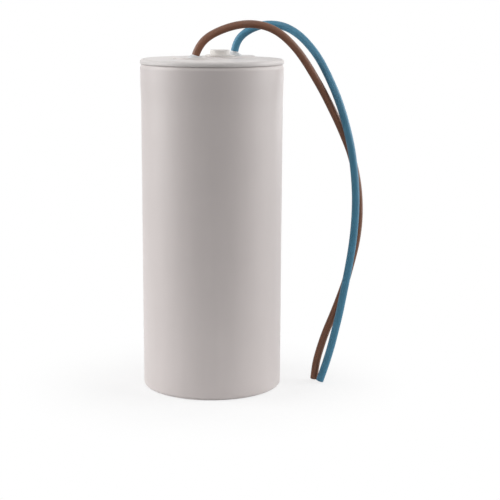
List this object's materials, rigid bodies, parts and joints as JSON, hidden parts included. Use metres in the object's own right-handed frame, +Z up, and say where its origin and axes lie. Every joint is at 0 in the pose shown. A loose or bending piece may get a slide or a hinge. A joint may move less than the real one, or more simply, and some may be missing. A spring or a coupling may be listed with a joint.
{
  "type": "motor run capacitor",
  "caption": "Cylindrical plastic-cased motor run capacitor with a flat welded lid, a filler plug and flexible brown and blue leads that hang down beside the can.",
  "frame": {"origin": "centre of the can's base, on the surface that the can stands on", "axes": "+Z up along the can's axis towards the lid; +X towards the side on which the leads hang; +Y towards the blue lead's exit"},
  "size_m": [0.0638, 0.0406, 0.1048],
  "materials": {
    "can_plastic": "moulded polypropylene, warm light grey white, satin gloss",
    "lid_plastic": "moulded polypropylene, warm light grey white, satin gloss",
    "plug_plastic": "moulded plastic, light grey, matt",
    "seal_resin": "clear to pale sealing resin, glossy",
    "metallised_film": "metallised polypropylene film, wound, bright",
    "core_plastic": "moulded plastic tube",
    "sprayed_zinc": "arc-sprayed zinc, grey and grainy",
    "insulation_board": "pressed insulation board",
    "tinned_copper": "tinned copper strip",
    "sleeve_pvc": "soft PVC sleeving",
    "solder": "bright solder",
    "copper_strands": "bare stranded copper",
    "potting": "cast polyurethane resin, dark",
    "brown_pvc": "extruded PVC insulation, brown, satin",
    "blue_pvc": "extruded PVC insulation, blue, satin"
  },
  "bodies": {
    "root": {"can": "can_plastic", "lid": "lid_plastic", "filler_plug": "plug_plastic", "lead_seal_brown": "seal_resin", "lead_seal_blue": "seal_resin", "film_winding": "metallised_film", "core_tube": "core_plastic", "end_spray_top": "sprayed_zinc", "end_spray_bottom": "sprayed_zinc", "insulating_disc": "insulation_board", "return_strip": "tinned_copper", "strip_sleeve": "sleeve_pvc", "solder_foot": "solder", "solder_tip": "solder", "solder_top": "solder", "conductor_brown": "copper_strands", "conductor_blue": "copper_strands", "potting_resin": "potting", "lead_brown": "brown_pvc", "lead_blue": "blue_pvc"}
  },
  "joints": []
}
